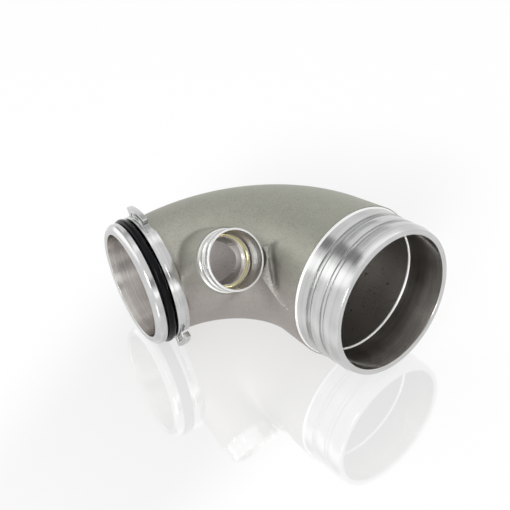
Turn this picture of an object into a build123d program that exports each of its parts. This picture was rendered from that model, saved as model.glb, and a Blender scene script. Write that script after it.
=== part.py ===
from build123d import *
import os
from math import sqrt

os.makedirs("parts", exist_ok=True)

# Turbo inlet pipe: a cast aluminium elbow with a hose spigot, an O-ring plug and a side port.
# The bend lies in the XY plane. The origin is the centre of the hose mouth, +X points out of it.
# Lengths are in millimetres and angles in degrees.

# Course of the pipe's centreline
TURN = 82.6
BEND_RADIUS = 64.4
HOSE_STRAIGHT = 43.8
PLUG_STRAIGHT = 24.0

# Cast body
BODY_RADIUS_HOSE = 39.6
BODY_RADIUS_MIDDLE = 36.3
BODY_RADIUS_PLUG = 31.7
CAST_BORE_RADIUS_HOSE = 33.7
CAST_BORE_RADIUS_PLUG = 28.0
BODY_SECTIONS = 11

# Hose spigot, measured back from the hose mouth
SPIGOT_LENGTH = 26.3
SPIGOT_RADIUS = 38.0
SPIGOT_BORE_RADIUS = 34.3
SPIGOT_BORE_DEPTH = 21.4
SPIGOT_NOSE_LENGTH = 3.4
SPIGOT_NOSE_DROP = 0.7
SPIGOT_GROOVE_BACKS = (10.9, 19.5)
SPIGOT_GROOVE_WIDTH = 2.8
SPIGOT_GROOVE_DEPTH = 0.8
BASE_LAND_RISE = 0.4
BASE_RIM_WIDTH = 0.7
BASE_RIM_RISE = 0.5

# Plug end with its O-ring, measured back from the plug mouth
PLUG_BORE_RADIUS = 28.6
PLUG_BORE_DEPTH = 19.0
PLUG_FACE_WIDTH = 2.6
PLUG_NOSE_LENGTH = 2.2
PLUG_LAND_RADIUS = 33.4
PLUG_LAND_LENGTH = 2.6
O_RING_SECTION = 4.2
O_RING_SIDE_CLEARANCE = 0.8
O_RING_FLOOR_CLEARANCE = 0.05
O_RING_STAND_PROUD = 1.0
FLANGE_WIDTH = 1.8
FLANGE_RADIUS = 34.0
COLLAR_WIDTH = 4.5
COLLAR_RADIUS = 34.2

# Two clip hooks on the plug's flange: the angle of the root's far side, counted from +Z about
# the plug's axis, the way the tongue runs from there, and how far the notch goes past its tip
HOOKS = ((20.0, -1, 6.5), (-152.0, 1, -4.0))
HOOK_SPAN = 32.0
HOOK_ROOT_SPAN = 7.0
HOOK_NOSE_SPAN = 3.0
HOOK_WIDTH = 2.8
HOOK_OUTER_RADIUS = 39.3
HOOK_TONGUE = 2.7
HOOK_NOSE_DROP = 0.8
NOTCH_DEPTH = 1.8
NOTCH_BEYOND_ROOT = 5.0

# Side port, measured back from its rim along its own axis
PORT_TILT = 26.5
PORT_RIM = (-52.8, -49.0, 26.6)
PORT_RADIUS = 15.0
PORT_BORE_RADIUS = 14.0
PORT_BORE_DEPTH = 11.0
PORT_SEAT_DROP = 1.0
PORT_HOLE_RADIUS = 11.5
PORT_LIP_LENGTH = 3.2
PORT_GROOVE_WIDTH = 1.8
PORT_GROOVE_DEPTH = 0.7
PORT_BAND_LENGTH = 3.8
PORT_RELIEF_WIDTH = 0.9
PORT_RELIEF_DEPTH = 0.4
PORT_COLLAR_LENGTH = 5.6
PORT_COLLAR_RADIUS = 15.6
PORT_BOSS_RADIUS = 16.4
PORT_EDGE = 0.4

# Root of the boss: how far its foot leans into the crook of the bend, across the port and up it
BOSS_ROOT_RADIUS = 16.0
BOSS_ROOT_LEAN = (-6.0, -8.0)

# Free space round the side port, for what is pushed over it
PORT_CLEARANCE = 1.6
PORT_CLEARANCE_REACH = 30.0

# How far a bore's cut starts in front of its mouth
BORE_OVERCUT = 1.0

# Gusset from the side port to its tip on the hose branch: it follows the skin of the body
GUSSET_TIP = (-30.2, -39.7, 1.0)
GUSSET_TOP = (-52.0, -30.3, 25.9)
GUSSET_HEEL = (-50.9, -37.4, 11.8)
GUSSET_RIDGE_BOW = 4.1
GUSSET_REACH = 1.3
GUSSET_TOP_WIDTH = 10.0
GUSSET_RISE = 1.6
GUSSET_DEPTH = 5.0

# Centreline, from the hose mouth to the plug mouth
with BuildLine() as centreline:
    hose_run = Line((0, 0), (-HOSE_STRAIGHT, 0))
    bend = CenterArc((-HOSE_STRAIGHT, -BEND_RADIUS), BEND_RADIUS, 90, TURN)
    plug_run = Line(bend @ 1, bend @ 1 + (bend % 1) * PLUG_STRAIGHT)

course = centreline.wires()[0]
plug_mouth = plug_run @ 1
plug_out = plug_run % 1
collar_back = (
    PLUG_NOSE_LENGTH
    + PLUG_LAND_LENGTH
    + O_RING_SECTION
    + 2 * O_RING_SIDE_CLEARANCE
    + FLANGE_WIDTH
    + COLLAR_WIDTH
)
body_length = course.length - SPIGOT_LENGTH - collar_back


def across_pipe(share):
    """Plane across the pipe at a share of the cast body's length, counted from the hose spigot."""
    distance = SPIGOT_LENGTH + share * body_length
    origin = course.position_at(distance, position_mode=PositionMode.LENGTH)
    tangent = course.tangent_at(distance, position_mode=PositionMode.LENGTH)
    return Plane(origin=origin, x_dir=(0, 0, 1), z_dir=tangent)


def body_radius(share):
    """Outer radius of the cast body: a parabola through its two ends and its middle."""
    return (
        BODY_RADIUS_HOSE * (1 - share) * (1 - 2 * share)
        + BODY_RADIUS_MIDDLE * 4 * share * (1 - share)
        + BODY_RADIUS_PLUG * share * (2 * share - 1)
    )


def cast_bore_radius(share):
    """Radius of the cast duct, which narrows evenly towards the plug."""
    return CAST_BORE_RADIUS_HOSE + (CAST_BORE_RADIUS_PLUG - CAST_BORE_RADIUS_HOSE) * share


shares = [index / (BODY_SECTIONS - 1) for index in range(BODY_SECTIONS)]

# The cast duct runs a little way into both machined ends
hose_share = (SPIGOT_BORE_DEPTH - SPIGOT_LENGTH) / body_length
plug_share = 1 - (PLUG_BORE_DEPTH - collar_back) / body_length
duct_shares = [hose_share + (plug_share - hose_share) * share for share in shares]

# Planes that hold the axes of the three machined ends: local X points out of the mouth
hose_plane = Plane.XY
plug_plane = Plane(origin=plug_mouth, x_dir=plug_out, z_dir=(0, 0, 1))
port_direction = Vector(1, 0, 0).rotate(Axis.Y, -PORT_TILT)
port_plane = Plane(origin=PORT_RIM, x_dir=port_direction, z_dir=(0, 1, 0))


def hose_outline():
    """Outer outline of the hose spigot as (back from the mouth, radius) points."""
    land = SPIGOT_RADIUS
    floor = land - SPIGOT_GROOVE_DEPTH
    base_land = land + BASE_LAND_RISE
    front_back, rear_back = SPIGOT_GROOVE_BACKS
    return [
        (0, 0),
        (0, land - SPIGOT_NOSE_DROP),
        (SPIGOT_NOSE_LENGTH, land),
        (front_back - SPIGOT_GROOVE_WIDTH, land),
        (front_back - SPIGOT_GROOVE_WIDTH / 2, floor),
        (front_back, floor),
        (front_back, land),
        (rear_back - SPIGOT_GROOVE_WIDTH, land),
        (rear_back - SPIGOT_GROOVE_WIDTH / 2, floor),
        (rear_back, floor),
        (rear_back, base_land),
        (SPIGOT_LENGTH - BASE_RIM_WIDTH, base_land),
        (SPIGOT_LENGTH - BASE_RIM_WIDTH, base_land + BASE_RIM_RISE),
        (SPIGOT_LENGTH, base_land + BASE_RIM_RISE),
        (SPIGOT_LENGTH, 0),
    ]


o_ring_centre_radius = PLUG_LAND_RADIUS + O_RING_STAND_PROUD - O_RING_SECTION / 2
groove_floor_radius = o_ring_centre_radius - O_RING_SECTION / 2 - O_RING_FLOOR_CLEARANCE
groove_front = PLUG_NOSE_LENGTH + PLUG_LAND_LENGTH
groove_back = groove_front + O_RING_SECTION + 2 * O_RING_SIDE_CLEARANCE
flange_back = groove_back + FLANGE_WIDTH


def plug_outline():
    """Outer outline of the plug end as (back from the mouth, radius) points."""
    return [
        (0, 0),
        (0, PLUG_BORE_RADIUS + PLUG_FACE_WIDTH),
        (PLUG_NOSE_LENGTH, PLUG_LAND_RADIUS),
        (groove_front, PLUG_LAND_RADIUS),
        (groove_front, groove_floor_radius),
        (groove_back, groove_floor_radius),
        (groove_back, FLANGE_RADIUS),
        (flange_back, FLANGE_RADIUS),
        (flange_back, COLLAR_RADIUS),
        (collar_back, COLLAR_RADIUS),
        (collar_back, 0),
    ]


port_groove_front = PORT_LIP_LENGTH
port_groove_back = port_groove_front + PORT_GROOVE_WIDTH
port_relief_front = port_groove_back + PORT_BAND_LENGTH
port_relief_back = port_relief_front + PORT_RELIEF_WIDTH
port_base = port_relief_back + PORT_COLLAR_LENGTH


def port_outline():
    """Outer outline of the side port as (back from the rim, radius) points."""
    return [
        (0, 0),
        (0, PORT_RADIUS - PORT_EDGE),
        (PORT_EDGE, PORT_RADIUS),
        (port_groove_front, PORT_RADIUS),
        (port_groove_front, PORT_RADIUS - PORT_GROOVE_DEPTH),
        (port_groove_back, PORT_RADIUS - PORT_GROOVE_DEPTH),
        (port_groove_back, PORT_RADIUS),
        (port_relief_front, PORT_RADIUS),
        (port_relief_front, PORT_RADIUS - PORT_RELIEF_DEPTH),
        (port_relief_back, PORT_RADIUS - PORT_RELIEF_DEPTH),
        (port_relief_back, PORT_COLLAR_RADIUS),
        (port_base, PORT_COLLAR_RADIUS),
        (port_base, 0),
    ]


# The side port's boss goes as deep as the pipe's centreline
port_from_bend = BEND_RADIUS + PORT_RIM[1]
duct_x = -HOSE_STRAIGHT - sqrt(BEND_RADIUS**2 - port_from_bend**2)
boss_end = (PORT_RIM[0] - duct_x) / port_direction.X


def bore_outline(radius, depth):
    """Outline of a machined bore, from beyond its mouth to its depth."""
    return [(-BORE_OVERCUT, 0), (-BORE_OVERCUT, radius), (depth, radius), (depth, 0)]


def port_bore_outline():
    """Outline of the side port's bore: counterbore, seat and the cast hole into the duct."""
    seat = PORT_BORE_DEPTH + PORT_SEAT_DROP
    return [
        (-BORE_OVERCUT, 0),
        (-BORE_OVERCUT, PORT_BORE_RADIUS),
        (PORT_BORE_DEPTH, PORT_BORE_RADIUS),
        (PORT_BORE_DEPTH, PORT_HOLE_RADIUS + PORT_SEAT_DROP),
        (seat, PORT_HOLE_RADIUS),
        (boss_end, PORT_HOLE_RADIUS),
        (boss_end, 0),
    ]


def port_clearance_outline():
    """Outline of the free space round the side port, as far as its collar."""
    radius = PORT_RADIUS + PORT_CLEARANCE
    return [
        (-PORT_CLEARANCE_REACH, 0),
        (-PORT_CLEARANCE_REACH, radius),
        (port_relief_back, radius),
        (port_relief_back, 0),
    ]


def plug_face(back):
    """Plane across the plug, some way back from its mouth: local X is up, Z out of the mouth."""
    return Plane(origin=plug_mouth - plug_out * back, x_dir=(0, 0, 1), z_dir=plug_out)


def leaning_plane(corner, along, side):
    """Plane through three corners: local X runs from the first one to the second."""
    origin = Vector(corner)
    run = Vector(along) - origin
    return Plane(origin=origin, x_dir=run, z_dir=run.cross(Vector(side) - origin))


gusset_plane = leaning_plane(GUSSET_TIP, GUSSET_TOP, GUSSET_HEEL)
gusset_ridge = (Vector(GUSSET_TOP) - Vector(GUSSET_TIP)).length
gusset_heel = gusset_plane.to_local_coords(Vector(GUSSET_HEEL))


def turned(plane, outline, mode=Mode.ADD):
    """Revolve an outline of (back from the mouth, radius) points about the plane's X axis."""
    with BuildSketch(plane) as profile:
        with BuildLine():
            Polyline([(-back, radius) for back, radius in outline], close=True)
        make_face()
    revolve(profile.sketch, axis=Axis(plane.origin, plane.x_dir), mode=mode)


def sector(radius_in, radius_out, start, span):
    """Sketch the part of a ring between two radii, from an angle over a span."""
    with BuildLine() as edge:
        inner = CenterArc((0, 0), radius_in, start, span)
        outer = CenterArc((0, 0), radius_out, start, span)
        Line(inner @ 0, outer @ 0)
        Line(inner @ 1, outer @ 1)
    make_face(edge.edges())


def hook_sector(radius_in, radius_out, root, way, first, last):
    """Sector of a hook, from one angle to another, both counted from its root's far side."""
    sector(radius_in, radius_out, root + way * first, way * (last - first))


# The gusset is the raised skin of the body inside a long pointed outline
with BuildPart() as gusset:
    for share in shares:
        with BuildSketch(across_pipe(share)):
            Circle(body_radius(share) + GUSSET_RISE)
    loft()
    with BuildSketch(gusset_plane):
        with BuildLine():
            SagittaArc((gusset_ridge, 0), (0, 0), -GUSSET_RIDGE_BOW)
            Polyline(
                (0, 0),
                (gusset_heel.X * GUSSET_REACH, gusset_heel.Y * GUSSET_REACH),
                (gusset_ridge, GUSSET_TOP_WIDTH),
                (gusset_ridge, 0),
            )
        make_face()
    extrude(amount=GUSSET_DEPTH, both=True, mode=Mode.INTERSECT)

# The casting with its machined ends is one piece
with BuildPart() as elbow_casting:
    for share in shares:
        with BuildSketch(across_pipe(share)):
            Circle(body_radius(share))
    loft()

    # Boss of the side port, with a root that leans into the crook of the bend
    boss_plane = Plane(
        origin=Vector(PORT_RIM) - port_direction * boss_end, x_dir=(0, 1, 0), z_dir=port_direction
    )
    with BuildSketch(boss_plane):
        Circle(PORT_BOSS_RADIUS)
    extrude(amount=boss_end - port_base)
    with BuildSketch(boss_plane):
        with Locations(BOSS_ROOT_LEAN):
            Circle(BOSS_ROOT_RADIUS)
    with BuildSketch(boss_plane.offset(boss_end - port_base)):
        Circle(BOSS_ROOT_RADIUS)
    loft()

    # The gusset stays clear of the free space round the port
    add(gusset.part)
    turned(port_plane, port_clearance_outline(), Mode.SUBTRACT)

    # Machined outsides of the three ends
    turned(hose_plane, hose_outline())
    turned(plug_plane, plug_outline())
    turned(port_plane, port_outline())

    # Notches in the collar, then the clip hooks over them
    for root, way, beyond_tip in HOOKS:
        with BuildSketch(plug_face(collar_back)):
            hook_sector(
                COLLAR_RADIUS - NOTCH_DEPTH,
                COLLAR_RADIUS + NOTCH_DEPTH,
                root,
                way,
                -NOTCH_BEYOND_ROOT,
                HOOK_SPAN + beyond_tip,
            )
        extrude(amount=COLLAR_WIDTH, mode=Mode.SUBTRACT)
        with BuildSketch(plug_face(flange_back + HOOK_WIDTH)):
            tongue_radius = HOOK_OUTER_RADIUS - HOOK_TONGUE
            nose_start = HOOK_SPAN - HOOK_NOSE_SPAN
            hook_sector(tongue_radius, HOOK_OUTER_RADIUS, root, way, 0, HOOK_SPAN)
            hook_sector(PLUG_BORE_RADIUS + PLUG_FACE_WIDTH, HOOK_OUTER_RADIUS, root, way, 0, HOOK_ROOT_SPAN)
            hook_sector(tongue_radius - HOOK_NOSE_DROP, HOOK_OUTER_RADIUS, root, way, nose_start, HOOK_SPAN)
        extrude(amount=HOOK_WIDTH)

    # The duct: cast bend, then the machined bores at the three mouths
    for share in duct_shares:
        with BuildSketch(across_pipe(share)):
            Circle(cast_bore_radius(share))
    loft(mode=Mode.SUBTRACT)
    turned(hose_plane, bore_outline(SPIGOT_BORE_RADIUS, SPIGOT_BORE_DEPTH), Mode.SUBTRACT)
    turned(plug_plane, bore_outline(PLUG_BORE_RADIUS, PLUG_BORE_DEPTH), Mode.SUBTRACT)
    turned(port_plane, port_bore_outline(), Mode.SUBTRACT)
elbow_casting.part.label = "elbow_casting"
export_step(elbow_casting.part, "parts/elbow_casting.step")

# O-ring of the plug end
with BuildPart() as o_ring:
    with BuildSketch(plug_plane):
        with Locations((-(groove_front + groove_back) / 2, o_ring_centre_radius)):
            Circle(O_RING_SECTION / 2)
    revolve(axis=Axis(plug_plane.origin, plug_plane.x_dir))
o_ring.part.label = "o_ring"
export_step(o_ring.part, "parts/o_ring.step")
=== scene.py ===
# %% [markdown]
# # A cast turbo inlet pipe
# The object is one aluminium casting: a bend that carries intake air from a wide hose to the
# narrow plug of a turbocharger. Three mouths are turned bright on a lathe or mill, the skin
# between them stays as it left the mould, and a black O-ring sits in a groove of the plug.
# In this lesson the casting is modelled afresh, because a sharp computer solid has no fillets,
# and its cast skin and its turned ends get finishes of their own.

# %% Load the frame
import math

import bpy
from mathutils import Matrix, Vector


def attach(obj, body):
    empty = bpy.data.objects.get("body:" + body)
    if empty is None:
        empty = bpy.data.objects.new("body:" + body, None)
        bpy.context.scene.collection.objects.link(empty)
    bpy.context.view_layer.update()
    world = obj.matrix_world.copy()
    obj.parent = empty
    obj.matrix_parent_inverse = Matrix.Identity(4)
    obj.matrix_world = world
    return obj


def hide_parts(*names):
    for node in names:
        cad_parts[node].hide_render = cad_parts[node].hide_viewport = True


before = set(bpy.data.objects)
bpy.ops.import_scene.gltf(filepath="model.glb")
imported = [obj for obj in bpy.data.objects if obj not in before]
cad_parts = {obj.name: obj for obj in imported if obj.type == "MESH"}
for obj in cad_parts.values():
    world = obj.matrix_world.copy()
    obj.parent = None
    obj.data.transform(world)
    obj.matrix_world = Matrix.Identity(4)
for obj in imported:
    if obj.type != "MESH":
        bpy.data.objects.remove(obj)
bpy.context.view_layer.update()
print("frame nodes:", sorted(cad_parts))

# %% [markdown]
# The course of the pipe is a straight, a bend and a straight. Everything is a length in
# millimetres, counted along that centreline from the hose mouth, and one factor turns it into
# Blender's metres. Each mouth gets a frame of its own: local Z points out of the mouth.

# %% Course of the pipe
MM = 0.001

TURN = math.radians(82.6)
BEND_RADIUS = 64.4
HOSE_STRAIGHT = 43.8
PLUG_STRAIGHT = 24.0
COURSE_LENGTH = HOSE_STRAIGHT + BEND_RADIUS * TURN + PLUG_STRAIGHT

bend_centre = Vector((-HOSE_STRAIGHT, -BEND_RADIUS, 0))
plug_out = Vector((-math.cos(TURN), -math.sin(TURN), 0))
bend_end = bend_centre + BEND_RADIUS * Vector((-math.sin(TURN), math.cos(TURN), 0))
plug_mouth = bend_end + plug_out * PLUG_STRAIGHT
port_tilt = math.radians(26.5)
port_out = Vector((math.cos(port_tilt), 0, math.sin(port_tilt)))
port_rim = Vector((-52.8, -49.0, 26.6))


def course_at(distance):
    """Point of the centreline at a distance from the hose mouth, and the way back along it."""
    if distance < HOSE_STRAIGHT:
        return Vector((-distance, 0, 0)), Vector((-1, 0, 0))
    turned = min((distance - HOSE_STRAIGHT) / BEND_RADIUS, TURN)
    point = bend_centre + BEND_RADIUS * Vector((-math.sin(turned), math.cos(turned), 0))
    way = Vector((-math.cos(turned), -math.sin(turned), 0))
    past = max(distance - HOSE_STRAIGHT - BEND_RADIUS * TURN, 0)
    return point + way * past, way


def mouth_frame(origin, out, sideways):
    """Matrix of a mouth, in metres: local Z points out, local X the given way across."""
    columns = Matrix((sideways, out.cross(sideways), out)).transposed().to_4x4()
    return Matrix.Translation(origin * MM) @ columns


up = Vector((0, 0, 1))
hose_frame = mouth_frame(Vector((0, 0, 0)), Vector((1, 0, 0)), up)
plug_frame = mouth_frame(plug_mouth, plug_out, up)
port_frame = mouth_frame(port_rim, port_out, Vector((0, 1, 0)))
print("centreline", round(COURSE_LENGTH, 1), "mm")
print("plug mouth", tuple(round(v, 1) for v in plug_mouth))

# %% [markdown]
# A few helpers stand for what the hand does all the time: pick one object, add a modifier and
# apply it, cut one solid with another, and put a finished piece into place with nothing left on
# its object but the mesh.


# %% Hands
MERGE_DISTANCE = 0.00001  # metres


def pick(piece):
    """Select one object and nothing else, and make it the active one."""
    bpy.ops.object.select_all(action="DESELECT")
    piece.select_set(True)
    bpy.context.view_layer.objects.active = piece


def named(name):
    """Name the object that was just added."""
    piece = bpy.context.object
    piece.name = name
    piece.data.name = name
    return piece


def worked(piece, kind, **settings):
    """Add a modifier with these settings and apply it."""
    pick(piece)
    bpy.ops.object.modifier_add(type=kind)
    modifier = piece.modifiers[-1]
    for setting, value in settings.items():
        setattr(modifier, setting, value)
    bpy.ops.object.modifier_apply(modifier=modifier.name)


def cut(piece, tool):
    """Cut away what a solid shares with another one, which is used up."""
    worked(piece, "BOOLEAN", object=tool, operation="DIFFERENCE", solver="EXACT")
    bpy.data.objects.remove(tool)


def joined(pieces):
    """Join several objects into the first one."""
    pick(pieces[0])
    for piece in pieces[1:]:
        piece.select_set(True)
    bpy.ops.object.join()
    return pieces[0]


def placed(piece, place):
    """Put a piece modelled about the world's Z axis where a mouth is, and apply its place."""
    pick(piece)
    piece.matrix_world = place
    bpy.ops.object.transform_apply(location=True, rotation=True, scale=True)
    return piece


def closed(piece):
    """Merge doubled points and turn every face outwards."""
    pick(piece)
    bpy.ops.object.mode_set(mode="EDIT")
    bpy.ops.mesh.select_all(action="SELECT")
    bpy.ops.mesh.remove_doubles(threshold=MERGE_DISTANCE)
    bpy.ops.mesh.normals_make_consistent(inside=False)
    bpy.ops.object.mode_set(mode="OBJECT")


def smooth_shaded(piece, degrees=32):
    """Shade smoothly, except over edges sharper than an angle."""
    pick(piece)
    bpy.ops.object.shade_smooth_by_angle(angle=math.radians(degrees))
    print(piece.name, len(piece.data.polygons), "faces")


# %% [markdown]
# Every turned end is a body of revolution, so one helper does the work of a lathe. It starts with
# a circle and extrudes it ring by ring: each point of the outline is a length back from the mouth
# and a radius. A spin of half a section would do as well, but rings keep the points in the order
# in which a turner would name them. Sharp edges then get the small bevel that a file leaves.

# %% Lathe
RING_POINTS = 160
SHARP_EDGE = math.radians(28)


def lathe(name, outline, edge=0.0):
    """Solid of revolution about local Z from a closed outline of (back, radius) points."""
    back, radius = outline[0]
    bpy.ops.object.select_all(action="DESELECT")
    bpy.ops.mesh.primitive_circle_add(
        vertices=RING_POINTS, radius=radius * MM, location=(0, 0, -back * MM)
    )
    piece = named(name)
    bpy.ops.object.transform_apply(location=True)
    bpy.ops.object.mode_set(mode="EDIT")
    bpy.ops.mesh.select_all(action="SELECT")
    for next_back, next_radius in [*outline[1:], outline[0]]:
        step = (0, 0, (back - next_back) * MM)
        bpy.ops.mesh.extrude_region_move(TRANSFORM_OT_translate={"value": step})
        ratio = next_radius / radius
        bpy.ops.transform.resize(value=(ratio, ratio, 1), center_override=(0, 0, 0))
        back, radius = next_back, next_radius
    bpy.ops.object.mode_set(mode="OBJECT")
    closed(piece)
    if edge:
        filed = {"width": edge * MM, "segments": 2}
        worked(piece, "BEVEL", limit_method="ANGLE", angle_limit=SHARP_EDGE, **filed)
    return piece


# %% [markdown]
# The cast body is a tube whose girth changes along the bend. A pipe swept along a curve would
# keep one girth, so the rings are again extruded one by one: each is moved along the straight or
# turned about the centre of the bend, and then resized about its own centre.

# %% Body sizes
SPIGOT_LENGTH = 26.3
COLLAR_BACK = 16.9
BODY_RADII = (39.6, 36.3, 31.7)
DUCT_RADII = (33.7, 28.0)
SPIGOT_BORE_DEPTH = 21.4
PLUG_BORE_DEPTH = 19.0
body_length = COURSE_LENGTH - SPIGOT_LENGTH - COLLAR_BACK


def body_radius(distance):
    """Outer radius of the casting: a parabola through its two ends and its middle."""
    share = (distance - SPIGOT_LENGTH) / body_length
    hose_end, middle, plug_end = BODY_RADII
    return (
        hose_end * (1 - share) * (1 - 2 * share)
        + middle * 4 * share * (1 - share)
        + plug_end * share * (2 * share - 1)
    )


def duct_radius(distance):
    """Radius of the cast duct, which narrows evenly from one bore to the other."""
    share = (distance - SPIGOT_LENGTH) / body_length
    return DUCT_RADII[0] + (DUCT_RADII[1] - DUCT_RADII[0]) * share


# %% Pipe by rings
PIPE_POINTS = 96
RING_STEP = 3.0


def pipe(name, radius_at, start, end):
    """Solid along the centreline between two distances, with a radius for each distance."""
    bpy.ops.object.select_all(action="DESELECT")
    bpy.ops.mesh.primitive_circle_add(
        vertices=PIPE_POINTS,
        radius=radius_at(start) * MM,
        fill_type="NGON",
        rotation=(0, math.pi / 2, 0),
        location=course_at(start)[0] * MM,
    )
    piece = named(name)
    bpy.ops.object.transform_apply(location=True, rotation=True)
    bpy.ops.object.mode_set(mode="EDIT")
    bpy.ops.mesh.select_all(action="SELECT")
    rings = math.ceil((end - start) / RING_STEP)
    stops = [start + (end - start) * ring / rings for ring in range(rings + 1)]
    for before, after in zip(stops, stops[1:]):
        here, way = course_at(before)
        there, new_way = course_at(after)
        bpy.ops.mesh.extrude_region_move(TRANSFORM_OT_translate={"value": (there - here) * MM})
        turn = way.angle(new_way, 0)
        if turn > 0:
            bpy.ops.transform.rotate(value=-turn, orient_axis="Z", center_override=there * MM)
        ratio = radius_at(after) / radius_at(before)
        bpy.ops.transform.resize(value=(ratio, ratio, ratio), center_override=there * MM)
    bpy.ops.object.mode_set(mode="OBJECT")
    closed(piece)
    return piece


HOSE_OVERLAP = 8.0
PLUG_OVERLAP = 6.0
body_start = SPIGOT_LENGTH - HOSE_OVERLAP
body_end = COURSE_LENGTH - COLLAR_BACK + PLUG_OVERLAP
body = pipe("cast_body", body_radius, body_start, body_end)
print("body box", [round(v / MM, 1) for v in body.dimensions])

# %% [markdown]
# Between the side port and the hose branch stands a gusset: a flat facet with a curved ridge that
# runs to a pointed tip. Its three corners give it a frame of its own, with X along the ridge, Y
# across the facet and Z out of it. Behind the upper half of the ridge the skin has a soft pocket.
# A large stretched sphere that only dips into the skin is the quickest tool for such a shallow
# hollow. It is cut before the remesh below, so that its rim melts into the skin.

# %% Gusset frame and pocket
GUSSET_TIP = Vector((-30.2, -39.7, 1.0))
GUSSET_TOP = Vector((-52.0, -30.3, 25.9))
GUSSET_HEEL = Vector((-50.9, -37.4, 11.8))
GUSSET_BOW = 4.1
POCKET_BACK = 11.0
POCKET_HALVES = (20.6, 10.7, 10.7)
POCKET_ASIDE = 0.9
POCKET_OVER = 8.9

ridge = GUSSET_TOP - GUSSET_TIP
face_out = ridge.cross(GUSSET_HEEL - GUSSET_TIP).normalized()
gusset_frame = mouth_frame(GUSSET_TIP, face_out, ridge.normalized())
half_ridge = ridge.length / 2
pocket_along = ridge.length - POCKET_BACK
pocket_bow = GUSSET_BOW * (1 - ((pocket_along - half_ridge) / half_ridge) ** 2)
pocket_slope = -2 * GUSSET_BOW * (pocket_along - half_ridge) / half_ridge**2

bpy.ops.object.select_all(action="DESELECT")
bpy.ops.mesh.primitive_uv_sphere_add(segments=48, ring_count=24, radius=MM)
pocket = named("pocket_tool")
pocket.scale = POCKET_HALVES
bpy.ops.object.transform_apply(scale=True)
pocket_centre = Vector((pocket_along, pocket_bow + POCKET_ASIDE, POCKET_OVER)) * MM
pocket_turn = Matrix.Rotation(math.atan(pocket_slope), 4, "Z")
placed(pocket, gusset_frame @ Matrix.Translation(pocket_centre) @ pocket_turn)
cut(body, pocket)
print("pocket cut", len(body.data.polygons), "faces")

# %% [markdown]
# The facet is flat where the skin is round. A block with the gusset's outline is bisected along
# its lower edge and trimmed by a wide cylinder, which leaves the curved ridge. It stands higher
# than the facet, so that the smoothing below gives its sides a fillet and takes its top corners,
# which are cut off afterwards.

# %% Gusset
GUSSET_SPREAD = 14.0
GUSSET_THICKNESS = 10.0
GUSSET_OVER = 1.2
FACET_LEVEL = 0.4
RIDGE_POINTS = 256

heel = (gusset_frame.inverted() @ (GUSSET_HEEL * MM)) / MM
ridge_arc = (half_ridge**2 + GUSSET_BOW**2) / (2 * GUSSET_BOW)


def gusset_block(name, low, high, margin=0.0):
    """Block between two heights over the facet, with a margin on all sides but the ridge."""
    bpy.ops.object.select_all(action="DESELECT")
    bpy.ops.mesh.primitive_cube_add(
        size=MM, location=Vector((half_ridge, GUSSET_SPREAD / 2, (low + high) / 2)) * MM
    )
    block = named(name)
    block.scale = (ridge.length + 2 * margin, GUSSET_SPREAD, high - low)
    bpy.ops.object.transform_apply(location=True, scale=True)
    bpy.ops.object.mode_set(mode="EDIT")
    bpy.ops.mesh.select_all(action="SELECT")
    lower_edge = Vector((-heel.y, heel.x, 0)).normalized()
    edge_point = lower_edge * margin * MM
    bpy.ops.mesh.bisect(plane_co=edge_point, plane_no=lower_edge, use_fill=True, clear_outer=True)
    bpy.ops.object.mode_set(mode="OBJECT")
    bpy.ops.object.select_all(action="DESELECT")
    bpy.ops.mesh.primitive_cylinder_add(
        vertices=RIDGE_POINTS,
        radius=ridge_arc * MM,
        depth=4 * GUSSET_THICKNESS * MM,
        location=(half_ridge * MM, (GUSSET_BOW - ridge_arc) * MM, 0),
    )
    cut(block, named("ridge_tool"))
    return placed(block, gusset_frame)


gusset = gusset_block("gusset", -GUSSET_THICKNESS, FACET_LEVEL + GUSSET_OVER)
print("gusset box", [round(v / MM, 1) for v in gusset.dimensions])

# %% [markdown]
# The boss carries the side port. Its upper side is round, and its root leans into the crook of
# the bend, where the pattern maker left more metal. Both are cylinders, and the leaning one is
# the same circle extruded sideways. The upright one starts too high, so that the smoothing below
# rounds an edge which the milling cutter takes away later.

# %% Boss of the side port
BOSS_RADIUS = 16.4
BOSS_TOP = 3.0
BOSS_DEPTH = 56.0
BOSS_ROOT_RADIUS = 16.0
BOSS_ROOT_TOP = 10.0
BOSS_ROOT_LEAN = (-6.0, -15.0)


def slanted_post(name, mouth, radius, top, depth, lean=(0, 0)):
    """Closed cylinder between two depths at a mouth, whose foot may be shifted sideways."""
    bpy.ops.object.select_all(action="DESELECT")
    bpy.ops.mesh.primitive_circle_add(
        vertices=PIPE_POINTS, radius=radius * MM, fill_type="NGON", location=(0, 0, -top * MM)
    )
    piece = named(name)
    bpy.ops.object.transform_apply(location=True)
    bpy.ops.object.mode_set(mode="EDIT")
    bpy.ops.mesh.select_all(action="SELECT")
    step = (lean[0] * MM, lean[1] * MM, (top - depth) * MM)
    bpy.ops.mesh.extrude_region_move(TRANSFORM_OT_translate={"value": step})
    bpy.ops.object.mode_set(mode="OBJECT")
    closed(piece)
    return placed(piece, mouth)


boss = slanted_post("boss", port_frame, BOSS_RADIUS, BOSS_TOP, BOSS_DEPTH)
boss_root = slanted_post(
    "boss_root", port_frame, BOSS_ROOT_RADIUS, BOSS_ROOT_TOP, BOSS_DEPTH, BOSS_ROOT_LEAN
)
body = joined([body, boss, boss_root, gusset])

# %% [markdown]
# A casting has no sharp inner corners: metal shrinks and cracks there, so the pattern has fillets
# everywhere. Bevelling the seam between a boss and a bend by hand is fiddly. A voxel remesh makes
# one skin of the crossing solids instead, and a smooth modifier then rounds every corner of it,
# as sanding does on a wooden pattern. On the side of the crook the real fillet is much wider, so
# a vertex group that fades out round that place gets a second, longer smoothing.

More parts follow.
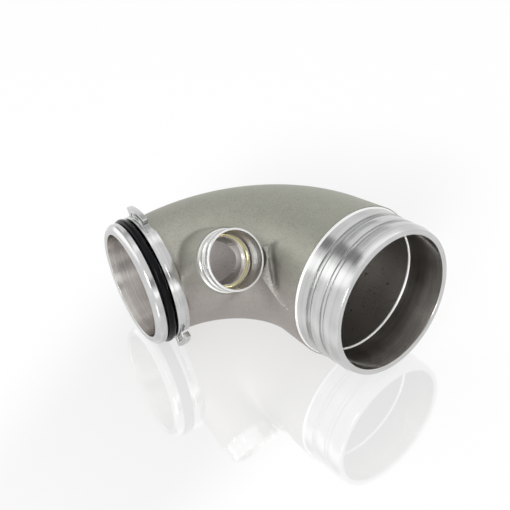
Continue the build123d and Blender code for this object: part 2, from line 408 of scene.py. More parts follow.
# %% One skin with fillets
SKIN_VOXEL = 0.8
SKIN_SMOOTHING = 26
CROOK_SMOOTHING = 170
CROOK_CENTRE = Vector((-72.0, -60.0, -2.0))
CROOK_INNER, CROOK_OUTER = 15.0, 29.0

worked(body, "REMESH", mode="VOXEL", voxel_size=SKIN_VOXEL * MM)
worked(body, "SMOOTH", factor=0.5, iterations=SKIN_SMOOTHING)
crook_side = body.vertex_groups.new(name="crook_side")
for vertex in body.data.vertices:
    from_crook = (vertex.co / MM - CROOK_CENTRE).length
    weight = (CROOK_OUTER - from_crook) / (CROOK_OUTER - CROOK_INNER)
    if weight > 0:
        crook_side.add([vertex.index], min(weight, 1), "REPLACE")
worked(body, "SMOOTH", factor=0.5, iterations=CROOK_SMOOTHING, vertex_group="crook_side")
bpy.ops.object.vertex_group_remove(all=True)
print("skin", len(body.data.polygons), "faces")

# %% [markdown]
# The smooth skin is now as soft as the pattern. What has to be crisp is cut after it: the facet,
# by the same block once more, a little wider and standing on the facet's plane.

# %% Facet
FACET_MARGIN = 3.0
over_facet = gusset_block("over_facet", FACET_LEVEL, FACET_LEVEL + 4 * GUSSET_OVER, FACET_MARGIN)
cut(body, over_facet)
print("facet cut", len(body.data.polygons), "faces")

# %% [markdown]
# The casting then goes to the machine shop. The same tools that bore and face the real part are
# solids here, and cut off what is too much: the seat under the hose spigot, the end behind the
# plug, the bore of the side port and the free space round it. The duct itself is a core that the
# founder puts in the mould. A straight tool is given as its radius and the two depths at its mouth
# between which it cuts. The order of the cuts matters: with other sizes the exact boolean has lost
# the whole body, so the number of faces is printed after each cut and has to stay near sixty
# thousand.

# %% Machining the body
SEAT_RADIUS = 36.4
SPIGOT_SEAT_DEPTH = 22.4
TOOL_REACH = 60.0
TOOL_START = -5.0
DUCT_OVERLAP_HOSE = 4.0
DUCT_OVERLAP_PLUG = 6.0
PLUG_COUNTERBORE = (29.6, 5.0, PLUG_BORE_DEPTH + 0.6)
PORT_DRILL = (11.5, 5.0, BOSS_DEPTH)
PORT_COUNTERBORE = (13.2, 6.0, 16.2)
PORT_CLEARANCE = (16.9, -30.0, 9.7)
BOSS_FACING = (15.65, -2.0, 15.3)

duct_start = SPIGOT_BORE_DEPTH - DUCT_OVERLAP_HOSE
duct_end = COURSE_LENGTH - PLUG_BORE_DEPTH + DUCT_OVERLAP_PLUG
hose_facing_outline = [
    (TOOL_START, SEAT_RADIUS),
    (TOOL_START, TOOL_REACH),
    (SPIGOT_LENGTH, TOOL_REACH),
    (SPIGOT_LENGTH, SEAT_RADIUS),
]
tools = (
    placed(lathe("hose_facing", hose_facing_outline), hose_frame),
    slanted_post("hose_end_facing", hose_frame, TOOL_REACH, TOOL_START, SPIGOT_SEAT_DEPTH),
    slanted_post("plug_facing", plug_frame, TOOL_REACH, TOOL_START, COLLAR_BACK),
    slanted_post("port_clearance", port_frame, *PORT_CLEARANCE),
    slanted_post("boss_facing", port_frame, *BOSS_FACING),
    pipe("duct_core", duct_radius, duct_start, duct_end),
    slanted_post("plug_counterbore", plug_frame, *PLUG_COUNTERBORE),
    slanted_post("port_drill", port_frame, *PORT_DRILL),
    slanted_post("port_counterbore", port_frame, *PORT_COUNTERBORE),
)
for tool in tools:
    used = tool.name
    cut(body, tool)
    print("after", used, len(body.data.polygons), "faces")
closed(body)
print("machined body", len(body.data.polygons), "faces")

# %% [markdown]
# The hose spigot is turned from the casting's wide end. A rounded nose lets the hose slip on, two
# grooves with a steep back wall hold it against the pull, and a slightly fatter land stops it.
# Inside, the bore ends in a small bright chamfer where it meets the rough duct.

# %% Hose spigot
hose_outline = [
    (0.0, 34.7),
    (0.0, 36.8),
    (0.3, 37.0),
    (4.4, 38.0),
    (8.1, 38.0),
    (9.3, 37.2),
    (10.9, 37.2),
    (10.9, 38.0),
    (16.7, 38.0),
    (17.9, 37.2),
    (19.5, 37.2),
    (19.5, 38.4),
    (25.3, 38.4),
    (25.9, 39.1),
    (26.3, 39.2),
    (26.3, 35.6),
    (22.4, 35.6),
    (22.4, 33.6),
    (21.8, 33.75),
    (21.3, 34.3),
    (0.4, 34.3),
]
hose_spigot = lathe("hose_spigot", hose_outline, edge=0.12)
placed(hose_spigot, hose_frame)
smooth_shaded(hose_spigot)

# %% [markdown]
# The plug end goes into the turbocharger. Behind its rounded nose are a land, the square groove of
# the O-ring, a flange and a collar. The bore is turned a little deeper than the collar.

# %% Plug end
plug_outline = [
    (0.0, 29.0),
    (0.0, 31.1),
    (0.2, 31.5),
    (1.9, 33.2),
    (2.4, 33.4),
    (4.8, 33.4),
    (4.8, 30.1),
    (10.6, 30.1),
    (10.6, 34.0),
    (12.3, 34.0),
    (12.5, 34.2),
    (16.9, 34.2),
    (16.9, 30.6),
    (19.6, 29.5),
    (19.6, 28.0),
    (19.2, 28.15),
    (18.8, 28.6),
    (0.4, 28.6),
]
plug_end = lathe("plug_end", plug_outline, edge=0.12)

# %% [markdown]
# Two hooks on the flange take the spring clip that keeps the plug in its socket. The collar is
# milled away under each tongue, so that the clip's wire can pass. A hook is a rectangle spun
# round the plug's axis three times: its root, its tongue and the small nose at the tip. The spin
# operator counts its angle the other way round than the right-hand rule, hence the minus sign.

# %% Clip hooks
HOOKS = (("upper_hook", 20.0, -1, 6.5), ("lower_hook", -152.0, 1, -4.0))
HOOK_SPAN = 32.0
HOOK_ROOT_SPAN = 7.0
HOOK_NOSE_SPAN = 3.0
HOOK_FRONT = 12.3
HOOK_WIDTH = 2.9
HOOK_OUTER = 39.3
HOOK_TONGUE = 2.7
HOOK_ROOT_INNER = 31.4
HOOK_NOSE_INNER = 35.8
HOOK_VOXEL = 0.22
HOOK_SMOOTHING = 11
COLLAR_RADIUS = 34.2
NOTCH_FRONT = 12.55
NOTCH_WIDTH = 5.0
NOTCH_OUTER = 37.0
NOTCH_BEFORE_ROOT = 5.0
NOTCH_DEPTH = 1.8


def spun_block(name, front, width, inner, outer, start, span):
    """Block between two radii that is spun round local Z, from an angle over a span."""
    bpy.ops.object.select_all(action="DESELECT")
    bpy.ops.mesh.primitive_plane_add(size=MM, rotation=(math.pi / 2, 0, 0))
    piece = named(name)
    piece.scale = (outer - inner, width, 1)
    piece.location = ((inner + outer) / 2 * MM, 0, -(front + width / 2) * MM)
    bpy.ops.object.transform_apply(location=True, rotation=True, scale=True)
    bpy.ops.object.mode_set(mode="EDIT")
    bpy.ops.mesh.select_all(action="SELECT")
    bpy.ops.mesh.spin(
        steps=max(round(abs(span)), 2), angle=-math.radians(span), center=(0, 0, 0), axis=(0, 0, 1)
    )
    bpy.ops.object.mode_set(mode="OBJECT")
    closed(piece)
    return placed(piece, Matrix.Rotation(math.radians(start), 4, "Z"))


def hook_block(name, inner, start, span):
    """Part of a hook, from an inner radius to the hook's outside."""
    return spun_block(name, HOOK_FRONT, HOOK_WIDTH, inner, HOOK_OUTER, start, span)


hooks = []
for name, root, way, beyond in HOOKS:
    notch_start = root - way * NOTCH_BEFORE_ROOT
    notch_span = way * (HOOK_SPAN + NOTCH_BEFORE_ROOT + beyond)
    floor_radius = COLLAR_RADIUS - NOTCH_DEPTH
    notch_ring = (NOTCH_FRONT, NOTCH_WIDTH, floor_radius, NOTCH_OUTER)
    cut(plug_end, spun_block("notch", *notch_ring, notch_start, notch_span))
    tongue_foot = HOOK_OUTER - HOOK_TONGUE
    nose_start = root + way * (HOOK_SPAN - HOOK_NOSE_SPAN)
    hook = joined(
        [
            hook_block(name, tongue_foot, root, way * HOOK_SPAN),
            hook_block("root", HOOK_ROOT_INNER, root, way * HOOK_ROOT_SPAN),
            hook_block("nose", HOOK_NOSE_INNER, nose_start, way * HOOK_NOSE_SPAN),
        ]
    )
    worked(hook, "REMESH", mode="VOXEL", voxel_size=HOOK_VOXEL * MM)
    worked(hook, "SMOOTH", factor=0.5, iterations=HOOK_SMOOTHING)
    placed(hook, plug_frame)
    smooth_shaded(hook, 60)
    hooks.append(hook)
placed(plug_end, plug_frame)
smooth_shaded(plug_end)

# %% [markdown]
# The side port is the smallest turning. Its rim is under a millimetre thick, a groove and a relief
# cut run round its outside, and a counterbore ends on a narrow seat over the cast hole.

# %% Side port
port_outline = [
    (0.0, 14.1),
    (0.0, 14.8),
    (0.3, 15.0),
    (3.2, 15.0),
    (3.3, 14.3),
    (4.9, 14.3),
    (5.0, 15.0),
    (8.8, 15.0),
    (8.9, 14.6),
    (9.6, 14.6),
    (9.7, 15.6),
    (17.0, 15.6),
    (17.0, 13.6),
    (16.2, 11.5),
    (13.0, 11.5),
    (12.7, 11.7),
    (12.5, 12.2),
    (12.2, 12.7),
    (11.7, 13.2),
    (10.9, 13.6),
    (9.8, 13.9),
    (8.6, 14.0),
    (0.2, 14.0),
]
side_port = lathe("side_port", port_outline, edge=0.08)
placed(side_port, port_frame)
smooth_shaded(side_port)

# %% [markdown]
# The O-ring is a torus of soft rubber. Its mould splits along the middle, and the real ring shows
# that as a hair of flash round its widest circle, so the outermost points move out by a trifle.

# %% O-ring
O_RING_SECTION = 4.2
O_RING_BACK = 7.7
O_RING_CENTRE = 32.3
FLASH = 0.06

bpy.ops.object.select_all(action="DESELECT")
bpy.ops.mesh.primitive_torus_add(
    major_segments=192,
    minor_segments=28,
    major_radius=O_RING_CENTRE * MM,
    minor_radius=O_RING_SECTION / 2 * MM,
    location=(0, 0, -O_RING_BACK * MM),
)
seal = named("o_ring_seal")
bpy.ops.object.transform_apply(location=True)
widest = (O_RING_CENTRE + O_RING_SECTION / 2 - 0.01) * MM
for vertex in seal.data.vertices:
    vertex.select = vertex.co.xy.length > widest
bpy.ops.object.mode_set(mode="EDIT")
bpy.ops.mesh.select_mode(type="VERT")
flash_ratio = 1 + FLASH / (O_RING_CENTRE + O_RING_SECTION / 2)
bpy.ops.transform.resize(
    value=(flash_ratio, flash_ratio, 1), center_override=(0, 0, -O_RING_BACK * MM)
)
bpy.ops.object.mode_set(mode="OBJECT")
placed(seal, plug_frame)
smooth_shaded(seal, 60)

# %% [markdown]
# The materials are written as sums. A small class wraps a socket of the shader tree, so that an
# expression such as `1 - mask * 0.3` adds its Math nodes by itself.


# %% Shader sums
class Value:
    """A number that varies over the surface: one output socket of a node tree."""

    def __init__(self, finish, socket):
        self.finish = finish
        self.socket = socket

    def sum(self, operation, first, second):
        return self.finish.add("ShaderNodeMath", {"operation": operation}, {0: first, 1: second})

    def __add__(self, other):
        return self.sum("ADD", self, other)

    __radd__ = __add__

    def __sub__(self, other):
        return self.sum("SUBTRACT", self, other)

    def __rsub__(self, other):
        return self.sum("SUBTRACT", other, self)

    def __mul__(self, other):
        return self.sum("MULTIPLY", self, other)

    __rmul__ = __mul__

    def size(self):
        return self.sum("ABSOLUTE", self, 0)


class Nodes:
    """A node tree in the making, with one method that adds any node."""

    def __init__(self, owner):
        owner.use_nodes = True
        self.tree = owner.node_tree

    def add(self, kind, settings, inputs, output=0):
        """Add a node, set it up, fill its sockets with numbers or links, and give its output."""
        node = self.tree.nodes.new(kind)
        for setting, value in settings.items():
            setattr(node, setting, value)
        shown = {socket.name: socket for socket in reversed(node.inputs) if socket.enabled}
        for key, value in inputs.items():
            self.fill(node.inputs[key] if isinstance(key, int) else shown[key], value)
        outputs = [socket for socket in node.outputs if socket.enabled]
        return Value(self, outputs[output])

    def fill(self, socket, value):
        """Link a varying value to a socket, or set a constant on it."""
        if isinstance(value, Value):
            self.tree.links.new(value.socket, socket)
        else:
            socket.default_value = value

    def vector(self, operation, first, second=(0, 0, 0), output=0):
        """Vector Math on two vectors."""
        inputs = {0: first, 1: second}
        return self.add("ShaderNodeVectorMath", {"operation": operation}, inputs, output)

    def ramp(self, value, low, high):
        """Smooth step from 0 at the low value to 1 at the high one."""
        settings = {"interpolation_type": "SMOOTHSTEP"}
        inputs = {"Value": value, "From Min": low, "From Max": high}
        return self.add("ShaderNodeMapRange", settings, inputs)


class Finish(Nodes):
    """A material in the making, with its shader and its patterns."""

    def __init__(self, name):
        self.material = bpy.data.materials.new(name)
        super().__init__(self.material)
        self.shader = self.tree.nodes["Principled BSDF"]

    def place(self):
        """Object coordinates, in metres."""
        return self.add("ShaderNodeTexCoord", {}, {}, output=3)

    def noise(self, place, scale, detail=2.0, roughness=0.5):
        """Noise between 0 and 1."""
        inputs = {"Vector": place, "Scale": scale, "Detail": detail, "Roughness": roughness}
        return self.add("ShaderNodeTexNoise", {}, inputs)

    def blend(self, mask, first, second):
        """Mix two colours by a mask."""
        inputs = {"Factor": mask, "A": first, "B": second}
        return self.add("ShaderNodeMix", {"data_type": "RGBA"}, inputs)

    def bump(self, height, distance, strength):
        """Raise the surface by a height between 0 and 1, times a distance in metres."""
        inputs = {"Height": height, "Distance": distance, "Strength": strength}
        return self.add("ShaderNodeBump", {}, inputs)

    def set(self, **values):
        """Fill the shader's sockets, named with underscores for spaces."""
        for name, value in values.items():
            self.fill(self.shader.inputs[name.replace("_", " ")], value)
        return self.material


# %% [markdown]
# The skin of the casting was blasted with fine grit. It is a matt, slightly warm grey whose tone
# wanders over the length of a finger, and a grain of about half a millimetre catches the light.
# Behind the gusset's ridge a mask in the gusset's own frame paints shade into the skin's colour:
# the skin is darker within a few millimetres of the ridge's arc, and on its far side.

# %% Cast skin
SAGE_GREY = (0.425, 0.428, 0.368, 1)
ROSY_GREY = (0.46, 0.425, 0.400, 1)
PAINTED_CORNER_SHADE = 0.5
CORNER_WIDTH = 0.0062


def cast_skin():
    finish = Finish("blasted_casting")
    place = finish.place()
    undo = gusset_frame.inverted()
    turn = {"Location": undo.translation, "Rotation": undo.to_euler()}
    local = finish.add("ShaderNodeMapping", {"vector_type": "POINT"}, {"Vector": place, **turn})
    arc_centre = Vector((half_ridge, GUSSET_BOW - ridge_arc, 0)) * MM
    in_plane = finish.vector("MULTIPLY", local, (1, 1, 0))
    from_ridge = ridge_arc * MM - finish.vector("DISTANCE", in_plane, arc_centre, output=0)
    up_ridge = finish.add("ShaderNodeSeparateXYZ", {}, {0: local}, output=0)
    fading = 1 - finish.ramp(from_ridge, 0.0018, CORNER_WIDTH)
    beside = finish.ramp(from_ridge, -0.0004, 0.0004) * fading
    ends = finish.ramp(up_ridge, 0.010, 0.019) * (1 - finish.ramp(up_ridge, 0.0335, 0.0365))
    over = finish.add("ShaderNodeSeparateXYZ", {}, {0: local}, output=2)
    # painted shade: the corner behind the gusset's ridge is darkened in the skin's colour
    painted_corner_shade = beside * ends * finish.ramp(over, -0.009, -0.005)
    height = finish.add("ShaderNodeSeparateXYZ", {}, {0: place}, output=2)
    tone = finish.ramp(height + finish.noise(place, 30) * 0.03, 0.012, 0.052)
    colour = finish.blend(tone, ROSY_GREY, SAGE_GREY)
    grain = finish.noise(place, 1500, detail=3.0, roughness=0.65)
    clouds = finish.noise(place, 220, detail=2.0)
    speck = finish.ramp(grain, 0.35, 0.68)
    shade = (0.80 + speck * 0.30) * (0.90 + clouds * 0.20) * (1 - painted_corner_shade * (1 - PAINTED_CORNER_SHADE))
    dark = finish.blend(shade, (0, 0, 0, 1), colour)
    relief = grain * 0.7 + clouds * 0.6
    return finish.set(
        Base_Color=dark,
        Metallic=0.92,
        Roughness=finish.ramp(grain, 0.2, 0.8) * 0.12 + 0.46,
        Normal=finish.bump(relief, 0.0002, 0.55),
    )


# %% [markdown]
# The gusset's facet is flat. Its colour is painted paler than the skin round it, as painted light
# for the light that the flat catches, and it shows the coarser grain of the metal, so it scatters
# light nearly as paper does.


# %% Facet with painted light
def painted_light_facet():
    finish = Finish("painted_light_facet")
    place = finish.place()
    grain = finish.noise(place, 1100, detail=4.0, roughness=0.75)
    speck = finish.ramp(grain, 0.38, 0.62)
    return finish.set(
        # painted light: the pale colour makes the flat look brighter than the skin round it
        Base_Color=finish.blend(speck, (0.50, 0.475, 0.45, 1), (0.74, 0.72, 0.69, 1)),
        Metallic=0.55,
        Roughness=0.50 + grain * 0.1,
        Normal=finish.bump(grain, 0.0003, 0.5),
    )


# %% [markdown]
# The duct was never blasted. Its skin is darker and browner, as the sand core left it, and small
# pits are scattered over it. Towards the plug its colour is painted paler, as painted light that
# stands in for the light inside the duct there.

# %% Duct skin
CORE_GREY = (0.24, 0.225, 0.205, 1)
PAINTED_LIGHT_DUCT_GREY = (0.84, 0.80, 0.79, 1)
PIT_GREY = (0.12, 0.11, 0.10, 1)


def duct_skin():
    finish = Finish("sand_cast_duct")
    place = finish.place()
    grain = finish.noise(place, 900, detail=3.0, roughness=0.6)
    pits = finish.ramp(finish.noise(place, 420, detail=1.0), 0.68, 0.75)
    clouds = finish.noise(place, 60, detail=3.0)
    along = finish.add("ShaderNodeSeparateXYZ", {}, {0: place}, output=0)
    # painted light: the duct turns paler towards the plug
    painted_light_towards_plug = finish.ramp(along * -1 + clouds * 0.012, 0.064, 0.084)
    colour = finish.blend(painted_light_towards_plug, CORE_GREY, PAINTED_LIGHT_DUCT_GREY)
    toned = finish.blend(0.7 + clouds * 0.3 + grain * 0.2, (0, 0, 0, 1), colour)
    return finish.set(
        Base_Color=finish.blend(pits, toned, PIT_GREY),
        Metallic=0.85,
        Roughness=0.42 + grain * 0.1,
        Normal=finish.bump(grain - pits, 0.0003, 0.5),
    )


# %% [markdown]
# A turned face is bright and carries the hair-fine rings of the tool. In the mouth's own frame a
# ring is a place along the axis and a distance from it, so a Mapping node turns the coordinates
# that way, and noise on those two numbers alone runs in rings. As a bump, the rings scatter light
# along the axis and leave it sharp round it, which gives a lathe-turned tube its long streaks.

# %% Turned aluminium
BRIGHT = (0.63, 0.635, 0.63, 1)
DULL = (0.50, 0.505, 0.50, 1)
FINE_RINGS = 2600
BROAD_RINGS = 420
RING_HEIGHT = 0.00004
BORE_RING_HEIGHT = 0.00006
PORT_RING_HEIGHT = 0.00008


def turned_aluminium(name, place_of_mouth, bright, dull, roughness, ring_height=RING_HEIGHT):
    finish = Finish(name)
    undo = place_of_mouth.inverted()
    turn = {"Location": undo.translation, "Rotation": undo.to_euler()}
    inputs = {"Vector": finish.place(), **turn}
    local = finish.add("ShaderNodeMapping", {"vector_type": "POINT"}, inputs)
    across = finish.vector("LENGTH", finish.vector("MULTIPLY", local, (1, 1, 0)), output=0)
    along = finish.add("ShaderNodeSeparateXYZ", {}, {0: local}, output=2)
    ringed = finish.add("ShaderNodeCombineXYZ", {}, {"X": across, "Y": along})
    rings = finish.noise(ringed, FINE_RINGS, detail=2.0, roughness=0.6)
    bands = finish.noise(ringed, BROAD_RINGS, detail=2.0)
    smears = finish.noise(local, 90, detail=3.0)
    tone = finish.ramp(rings * 0.35 + bands * 0.35 + smears * 0.3, 0.32, 0.68)
    return finish.set(
        Base_Color=finish.blend(tone, dull, bright),
        Metallic=1.0,
        Roughness=bands * 0.08 + smears * 0.06 + roughness,
        Normal=finish.bump(rings + bands, ring_height, 1.0),
    )


# %% [markdown]
# The O-ring is black nitrile rubber with a smooth, slightly greasy gloss.


# %% Rubber
def rubber():
    finish = Finish("nitrile_rubber")
    place = finish.place()
    mottle = finish.noise(place, 350, detail=3.0)
    return finish.set(
        Base_Color=finish.blend(mottle, (0.003, 0.003, 0.004, 1), (0.009, 0.009, 0.011, 1)),
        Roughness=mottle * 0.06 + 0.10,
        Specular_IOR_Level=0.09,
        Normal=finish.bump(mottle, 0.00005, 0.3),
    )


# %% [markdown]
# Each piece gets its finishes by place. On the cast body a face belongs to the duct if it is
# nearer to the centreline than the wall's middle. On a turned end the finishes go by zones, each
# with two radii and two depths at its mouth: the bore, the edges that a file has broken, and the
# port's seat. The broken edges are painted nearly white, as painted highlights. What lies in no
# zone keeps the first finish.

# %% Dress the pieces
BORE_GREY = (0.74, 0.72, 0.70, 1)
BORE_DULL = (0.56, 0.54, 0.52, 1)
OUTER_PORT = (0.90, 0.90, 0.89, 1)
OUTER_PORT_DULL = (0.74, 0.74, 0.73, 1)
PORT_GREY = (0.88, 0.86, 0.84, 1)
PORT_DULL = (0.70, 0.68, 0.66, 1)
SEAT_GOLD = (0.50, 0.46, 0.28, 1)
SEAT_DULL = (0.30, 0.27, 0.15, 1)
# painted highlight: the broken edges are painted nearly white
EDGE_HIGHLIGHT = (0.96, 0.96, 0.95, 1)
EDGE_HIGHLIGHT_DULL = (0.88, 0.88, 0.87, 1)
FACET_NEAR = 0.05
FACET_ASIDE = 2.0


def girth(point):
    """Distance of a point from the centreline, and its place along it."""
    if point.x > bend_centre.x:
        return math.hypot(point.y, point.z), -point.x
    from_centre = point - bend_centre
    turned = math.atan2(-from_centre.x, from_centre.y)
    if 0 <= turned <= TURN:
        off_bend = math.hypot(from_centre.xy.length - BEND_RADIUS, point.z)
        return off_bend, HOSE_STRAIGHT + BEND_RADIUS * turned
    along = (point - bend_end).dot(plug_out)
    return (point - bend_end - plug_out * along).length, COURSE_LENGTH - PLUG_STRAIGHT + along


def wear(piece, materials, choose):
    """Give a piece its materials, and each face the one that a function of its centre names."""
    piece.data.materials.clear()
    for material in materials:
        piece.data.materials.append(material)
    for face in piece.data.polygons:
        face.material_index = choose(face.center / MM)


def on_body(point):
    local = (gusset_frame.inverted() @ (point * MM)) / MM
    level_with = abs(local.z - FACET_LEVEL) < FACET_NEAR
    along_ridge = -FACET_ASIDE < local.x < ridge.length + FACET_ASIDE
    if level_with and along_ridge and -FACET_ASIDE < local.y < GUSSET_SPREAD:
        return 2
    radius, distance = girth(point)
    return 1 if radius < (body_radius(distance) + duct_radius(distance)) / 2 else 0


def by_zone(mouth, *zones):
    """Choose the first zone's number whose radii and depths at a mouth hold the place, else 0."""
    undo = mouth.inverted()

    def choose(point):
        local = (undo @ (point * MM)) / MM
        for number, nearest, widest, shallowest, deepest in zones:
            if nearest < local.xy.length < widest and shallowest < -local.z < deepest:
                return number
        return 0

    return choose


wear(body, [cast_skin(), duct_skin(), painted_light_facet()], on_body)
smooth_shaded(body, 40)
for face in body.data.polygons:
    face.select = face.material_index == 2
print("facet faces", sum(face.select for face in body.data.polygons))
bpy.ops.object.mode_set(mode="EDIT")
bpy.ops.mesh.select_mode(type="FACE")
bpy.ops.mesh.faces_shade_flat()
bpy.ops.object.mode_set(mode="OBJECT")

# %% Dress the turned ends
TURNED = 0.11
BORED = 0.12
FILED = 0.38
ANY = 99.0
HOSE_ZONES = (
    (2, 38.35, ANY, 25.25, ANY),
    (2, 0, 34.6, 21.0, ANY),
    (1, 0, 34.5, -1, 21.1),
)
PLUG_ZONES = (
    (2, 0, 28.9, 18.6, ANY),
    (1, 0, 28.8, -1, 18.7),
)
PORT_ZONES = (
    (3, 14.02, 14.9, -1, 0.2),
    (2, 11.75, 13.1, 11.75, 12.9),
    (1, 0, 14.1, 0, ANY),
)

spigot_finishes = [
    turned_aluminium("turned_spigot", hose_frame, BRIGHT, DULL, TURNED),
    turned_aluminium("bored_spigot", hose_frame, BORE_GREY, BORE_DULL, BORED, BORE_RING_HEIGHT),
    turned_aluminium("edge_highlight_spigot", hose_frame, EDGE_HIGHLIGHT, EDGE_HIGHLIGHT_DULL, FILED),
]
plug_finishes = [
    turned_aluminium("turned_plug", plug_frame, BRIGHT, DULL, TURNED),
    turned_aluminium("bored_plug", plug_frame, BORE_GREY, BORE_DULL, BORED),
    turned_aluminium("edge_highlight_plug", plug_frame, EDGE_HIGHLIGHT, EDGE_HIGHLIGHT_DULL, FILED),
]
port_finishes = [
    turned_aluminium("turned_port", port_frame, OUTER_PORT, OUTER_PORT_DULL, TURNED),
    turned_aluminium("bored_port", port_frame, PORT_GREY, PORT_DULL, BORED, PORT_RING_HEIGHT),
    turned_aluminium("seat_of_port", port_frame, SEAT_GOLD, SEAT_DULL, BORED),
    turned_aluminium("edge_highlight_port", port_frame, EDGE_HIGHLIGHT, EDGE_HIGHLIGHT_DULL, FILED),
]
wear(hose_spigot, spigot_finishes, by_zone(hose_frame, *HOSE_ZONES))
wear(plug_end, plug_finishes, by_zone(plug_frame, *PLUG_ZONES))
for hook in hooks:
    wear(hook, plug_finishes[:1], lambda point: 0)
wear(side_port, port_finishes, by_zone(port_frame, *PORT_ZONES))
wear(seal, [rubber()], lambda point: 0)
for piece in (hose_spigot, plug_end, *hooks, side_port, seal):
    print(piece.name, "wears", [material.name for material in piece.data.materials])

# %% [markdown]
# Every new piece stands for the solid that it shows, and rides on the same body.

# %% Tie the pieces to the frame
for piece in (body, hose_spigot, plug_end, *hooks, side_port):
    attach(piece, "root")
    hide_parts("elbow_casting")
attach(seal, "root")
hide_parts("o_ring")

# %% [markdown]
# The pipe lies on three points: the base of the hose spigot, the plug and the outside of the bend.
# They aren't level with the bend, so the floor leans a little under it, as it does when the pipe
# lies on a table. The floor is white acrylic with a gloss that mirrors the pipe near its foot and
# fades further away. It reflects about a fifth of the light, and the rest of its white is its own,
# for the camera and in reflections only. So it meets the white background without an edge, throws
# no extra light on the pipe and still keeps the pipe's shadow.

# %% Floor
REST_LEAN = Vector((0.042, 0.0255, 1)).normalized()
FLOOR_POINT = Vector((-28, 0, -39.75))
FLOOR_GREY = 0.22
FLOOR_GLOW = 0.81
MIRROR = 0.20
MIRROR_NEAR, MIRROR_FAR = 0.08, 0.30
FOOT_OF_PIPE = (-0.06, -0.02, -0.04)


def seen_directly(nodes):
    """1 for what the camera sees, straight or in a mirror, else 0."""
    paths = [nodes.add("ShaderNodeLightPath", {}, {}, output=index) for index in (0, 3, 6)]
    return paths[0] + paths[1] + paths[2]


bpy.ops.object.select_all(action="DESELECT")
bpy.ops.mesh.primitive_plane_add(size=6)
floor = named("floor")
floor.rotation_euler = REST_LEAN.to_track_quat("Z", "Y").to_euler()
floor.location = FLOOR_POINT * MM
bpy.ops.object.transform_apply(location=True, rotation=True, scale=True)
acrylic = Finish("white_acrylic")
floor_colour = (FLOOR_GREY, FLOOR_GREY, FLOOR_GREY, 1)
acrylic.set(Base_Color=floor_colour, Roughness=0.9, Specular_IOR_Level=0.0)
glow = acrylic.add("ShaderNodeEmission", {}, {"Strength": seen_directly(acrylic) * FLOOR_GLOW})
matt = Value(acrylic, acrylic.shader.outputs[0])
sheet = acrylic.add("ShaderNodeAddShader", {}, {0: matt, 1: glow})
gloss = acrylic.add("ShaderNodeBsdfGlossy", {}, {"Color": (1, 1, 1, 1), "Roughness": 0.04})
from_foot = acrylic.vector("DISTANCE", acrylic.place(), FOOT_OF_PIPE, output=0)
fade = 1 - acrylic.ramp(from_foot, MIRROR_NEAR, MIRROR_FAR)
mixed = acrylic.add("ShaderNodeMixShader", {}, {0: fade * MIRROR, 1: sheet, 2: gloss})
acrylic.fill(acrylic.tree.nodes["Material Output"].inputs["Surface"], mixed)
floor.data.materials.append(acrylic.material)

# %% [markdown]
# The studio is a white tent. It lights the pipe evenly, and its white is also the background. A
# tent has seams and lamps behind it, and a turned tube shows each of them as a streak, so the
# reflections get a few darker and brighter strips. Each strip runs from one direction to another,
# given as azimuth and elevation, and has a half width in degrees and a brightness.

# %% Studio
TENT_LIGHT = 0.8
STRIPS = (
    ((175, 16), (-110, 70), 9, 0.30),
    ((-172, 6), (-87, 43), 10, 1.7),
    ((50, 13), (-34, 23), 7, 0.35),
    ((46, -3), (-30, 4), 7, 1.8),
    ((95, 40), (-95, 70), 7, 1.5),
    ((131, 25), (169, 52), 7, 0.55),
)
STRIP_CORE, STRIP_HALO = 0.55, 1.45
STRIP_END = 0.12


def direction(azimuth, elevation):
    """Unit vector of a direction given in degrees."""
    turned, raised = math.radians(azimuth), math.radians(elevation)
    level_with = math.cos(raised)
    return Vector((math.cos(turned) * level_with, math.sin(turned) * level_with, math.sin(raised)))


world = bpy.data.worlds.new("tent")
bpy.context.scene.world = world
tent = Nodes(world)
outward = tent.add("ShaderNodeTexCoord", {}, {}, output=0)
glossy_ray = tent.add("ShaderNodeLightPath", {}, {}, output=3)
level = 1.0
for start, end, half_width, brightness in STRIPS:
    first, last = direction(*start), direction(*end)
    middle = (first + last).normalized()
    side = first.cross(last).normalized()
    off_middle = tent.vector("DOT_PRODUCT", outward, side, output=0).size()
    narrow = math.sin(math.radians(half_width * STRIP_CORE))
    wide = math.sin(math.radians(half_width * STRIP_HALO))
    reach = first.angle(last) / 2
    along = tent.vector("DOT_PRODUCT", outward, middle, output=0)
    lengthwise = tent.ramp(along, math.cos(reach + STRIP_END), math.cos(reach))
    strip = (1 - tent.ramp(off_middle, narrow, wide)) * lengthwise
    level = strip * (brightness - 1) + level
shown = seen_directly(tent)
backdrop = tent.tree.nodes["Background"]
strength = (1 - shown) * TENT_LIGHT + (shown - glossy_ray) + glossy_ray * level
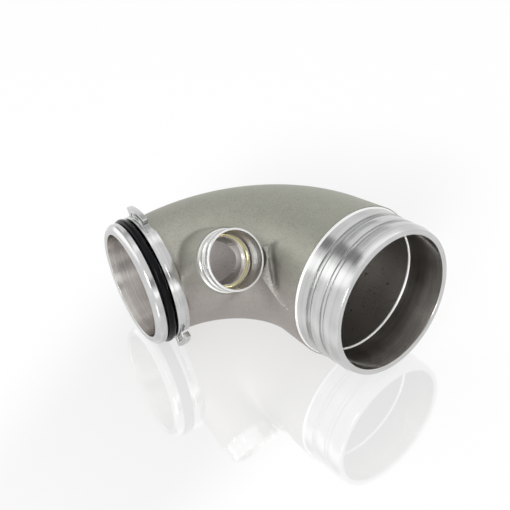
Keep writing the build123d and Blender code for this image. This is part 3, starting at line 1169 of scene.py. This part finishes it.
tent.fill(backdrop.inputs["Color"], (1, 1, 1, 1))
tent.fill(backdrop.inputs["Strength"], strength)
print("tent with", len(STRIPS), "strips")

# %% [markdown]
# One real lamp stands to the left of the camera. It is a tall softbox, which adds highlights of
# its own to the rubber and to the turned faces.

# %% Lamp
LAMP_FROM = (-65, 23)
LAMP_DISTANCE = 1.0
LAMP_WIDTH, LAMP_HEIGHT = 0.12, 0.36
LAMP_WATTS = 2.0

lamp_way = direction(*LAMP_FROM)
bpy.ops.object.select_all(action="DESELECT")
bpy.ops.object.light_add(type="AREA", location=lamp_way * LAMP_DISTANCE)
lamp = bpy.context.object
lamp.name = "softbox"
lamp.rotation_euler = lamp_way.to_track_quat("Z", "Y").to_euler()
lamp.data.shape = "RECTANGLE"
lamp.data.size = LAMP_WIDTH
lamp.data.size_y = LAMP_HEIGHT
lamp.data.energy = LAMP_WATTS
print("softbox at", tuple(round(v, 2) for v in lamp.location))

# %% [markdown]
# The camera stands where the photographer's most likely stood. Its place, its aim and its focal
# length were fitted to the round edges of both ends and to the outline of the body.

# %% Camera
FOCAL_PIXELS = 748.2
PHOTO_PIXELS = 510
SENSOR = 36.0
camera_place = Vector((195.97, -205.5, 215.0))
camera_look = Vector((-0.69990, 0.47019, -0.53764))
camera_up = Vector((-0.35995, 0.41797, 0.83411))
camera_right = camera_look.cross(camera_up)
bpy.ops.object.select_all(action="DESELECT")
bpy.ops.object.camera_add()
camera = bpy.context.object
camera.data.lens = FOCAL_PIXELS * SENSOR / PHOTO_PIXELS
camera.data.sensor_width = SENSOR
camera.data.clip_start = 0.01
turn = Matrix((camera_right, camera_up, -camera_look)).transposed().to_4x4()
camera.matrix_world = Matrix.Translation(camera_place * MM) @ turn
bpy.context.scene.camera = camera
print("lens", round(camera.data.lens, 1), "mm")

# %% [markdown]
# The colours are written as they should look, so no film curve changes them.

# %% Colours as written
bpy.context.scene.view_settings.view_transform = "Standard"
